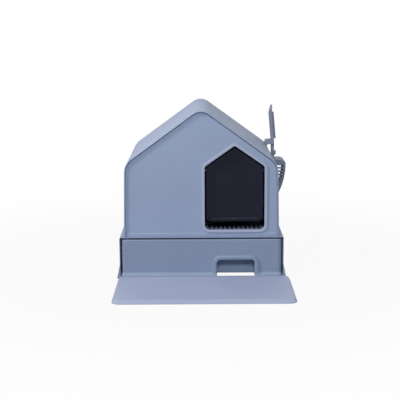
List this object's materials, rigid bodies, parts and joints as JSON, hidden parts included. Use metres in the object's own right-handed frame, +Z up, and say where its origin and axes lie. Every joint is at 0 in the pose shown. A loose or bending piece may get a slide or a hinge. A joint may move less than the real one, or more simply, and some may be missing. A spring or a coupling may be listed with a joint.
{
  "type": "drawer litter box",
  "caption": "House-shaped enclosed litter box with a forward-sliding litter drawer, a swinging entrance flap, a lift-off hood, a scoop in a side hook and a loose step mat.",
  "frame": {"origin": "middle of the base's footprint, on the floor; the walls' front edges and the drawer's face lie at Y = -0.220", "axes": "+X to the right as seen from the front, +Y to the back, +Z up; the drawer slides out along -Y"},
  "size_m": [0.4922, 0.7025, 0.4604],
  "materials": {
    "hood": "blue-grey, finely textured satin",
    "base": "blue-grey, finely textured satin",
    "drawer": "blue-grey, finely textured satin",
    "rim": "blue-grey, satin",
    "mat": "blue-grey, satin",
    "scoop": "blue-grey, satin",
    "tread": "dusty blue-grey, matte",
    "smoked": "smoked, glossy, nearly opaque",
    "steel": "zinc-plated steel"
  },
  "bodies": {
    "base": {"base_frame": "base", "tread_grate": "tread"},
    "drawer": {"drawer_pan": "drawer", "drawer_front": "drawer", "drawer_screws": "steel"},
    "hood": {"hood_shell": "hood", "front_panel": "hood", "rear_panel": "hood", "panel_screws": "steel", "entrance_rim": "rim", "scoop_hook": "scoop", "hook_screws": "steel"},
    "flap": {"door_flap": "smoked", "hinge_pin_left": "steel", "hinge_pin_right": "steel"},
    "scoop": {"scoop": "scoop"},
    "mat": {"step_mat": "mat"}
  },
  "joints": [
    {"name": "drawer_slide", "type": "slide", "parent": "base", "child": "drawer", "axis": [0, -1, 0], "range_m": [0, 0.33]},
    {"name": "hood_lift", "type": "slide", "parent": "base", "child": "hood", "axis": [0, 0, 1], "range_m": [0, 0.1]},
    {"name": "flap_swing", "type": "hinge", "parent": "hood", "child": "flap", "pos_m": [0.091, -0.1977, 0.297], "axis": [1, 0, 0], "range_deg": [-75, 75]},
    {"name": "scoop_pull", "type": "slide", "parent": "hood", "child": "scoop", "axis": [1, 0, 0], "range_m": [0, 0.06]},
    {"name": "mat_slide", "type": "slide", "parent": "base", "child": "mat", "axis": [0, -1, 0], "range_m": [0, 0.15]}
  ]
}
